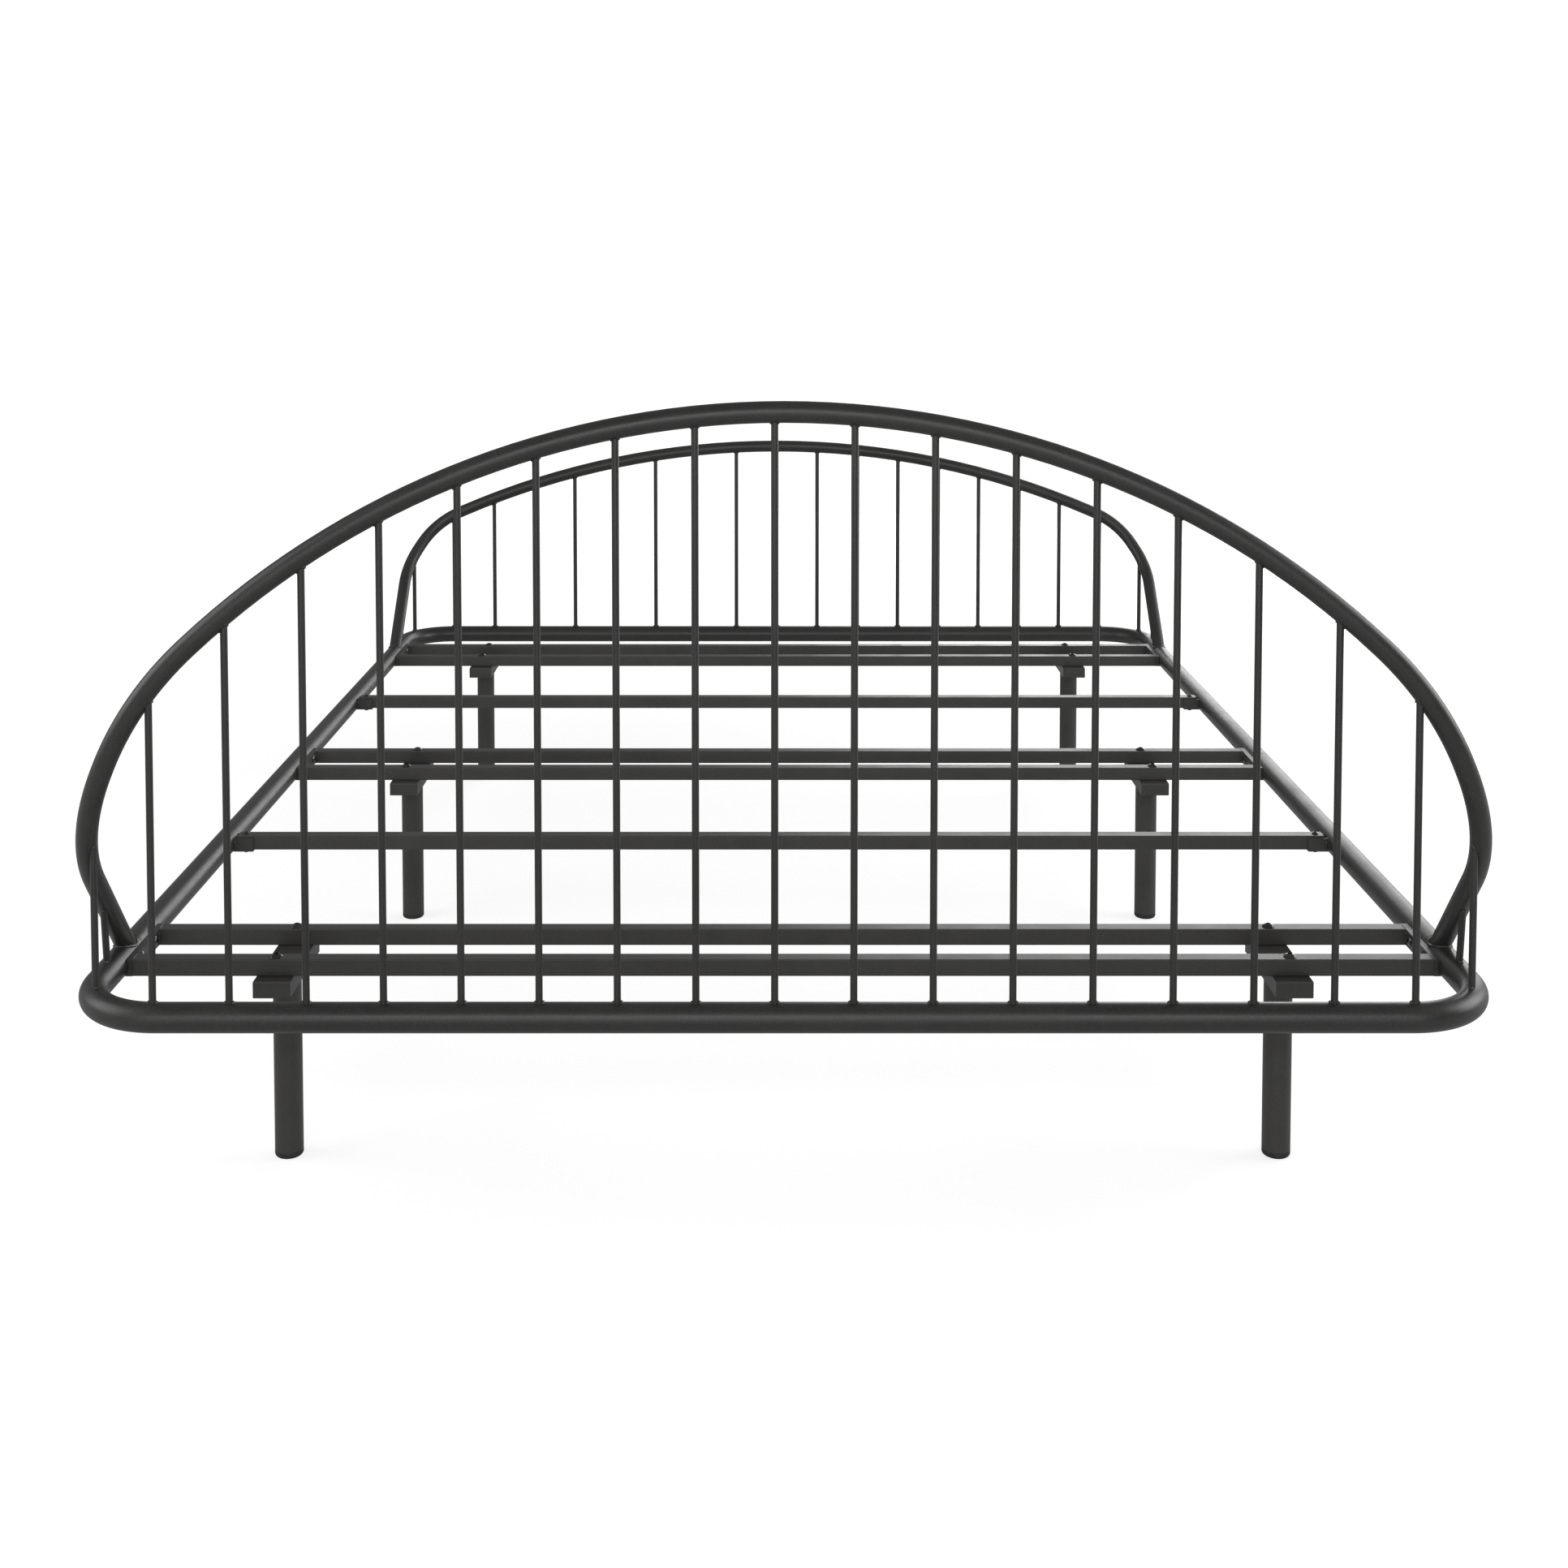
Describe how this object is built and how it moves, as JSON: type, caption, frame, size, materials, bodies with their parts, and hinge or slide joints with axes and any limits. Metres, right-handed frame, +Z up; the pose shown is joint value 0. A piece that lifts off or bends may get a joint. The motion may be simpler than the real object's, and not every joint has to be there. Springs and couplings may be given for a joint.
{
  "type": "bed frame",
  "caption": "Steel tube bed frame with arched spindle head and foot, slat pairs on legs and single slats between.",
  "frame": {"origin": "on the floor under the middle of the bed", "axes": "+Z up, +Y from the head to the foot, +X to the right when looking from the head to the foot"},
  "size_m": [1.603, 2.093, 0.932],
  "materials": {
    "powder_coat": "satin textured powder coat",
    "black_fastener": "black, semi-gloss",
    "cap_plastic": "matt moulded",
    "bare_steel": "plain"
  },
  "bodies": {
    "root": {"foot_arch": "powder_coat", "foot_bay_holder_left": "powder_coat", "foot_bay_holder_right": "powder_coat", "foot_bay_slat": "powder_coat", "foot_corner_spindles": "powder_coat", "foot_leg_cap_left": "cap_plastic", "foot_leg_cap_right": "cap_plastic", "foot_leg_left": "powder_coat", "foot_leg_right": "powder_coat", "foot_plate_left": "powder_coat", "foot_plate_right": "powder_coat", "foot_rail": "powder_coat", "foot_saddle_left": "powder_coat", "foot_saddle_right": "powder_coat", "foot_side_spindles": "powder_coat", "foot_slat_first": "powder_coat", "foot_slat_second": "powder_coat", "foot_spindle_middle": "powder_coat", "foot_spindles_left": "powder_coat", "foot_spindles_right": "powder_coat", "head_arch": "powder_coat", "head_bay_holder_left": "powder_coat", "head_bay_holder_right": "powder_coat", "head_bay_slat": "powder_coat", "head_corner_spindles": "powder_coat", "head_leg_cap_left": "cap_plastic", "head_leg_cap_right": "cap_plastic", "head_leg_left": "powder_coat", "head_leg_right": "powder_coat", "head_plate_left": "powder_coat", "head_plate_right": "powder_coat", "head_rail": "powder_coat", "head_saddle_left": "powder_coat", "head_saddle_right": "powder_coat", "head_side_spindles": "powder_coat", "head_slat_first": "powder_coat", "head_slat_second": "powder_coat", "head_spindle_middle": "powder_coat", "head_spindles_left": "powder_coat", "head_spindles_right": "powder_coat", "holder_bolts": "black_fastener", "holder_nuts": "black_fastener", "joint_bolts": "black_fastener", "joint_sleeves": "bare_steel", "middle_leg_cap_left": "cap_plastic", "middle_leg_cap_right": "cap_plastic", "middle_leg_left": "powder_coat", "middle_leg_right": "powder_coat", "middle_plate_left": "powder_coat", "middle_plate_right": "powder_coat", "middle_saddle_left": "powder_coat", "middle_saddle_right": "powder_coat", "middle_slat_first": "powder_coat", "middle_slat_second": "powder_coat", "saddle_bolts": "black_fastener", "saddle_nuts": "black_fastener", "side_rail_left_foot": "powder_coat", "side_rail_left_head": "powder_coat", "side_rail_right_foot": "powder_coat", "side_rail_right_head": "powder_coat"}
  },
  "joints": []
}
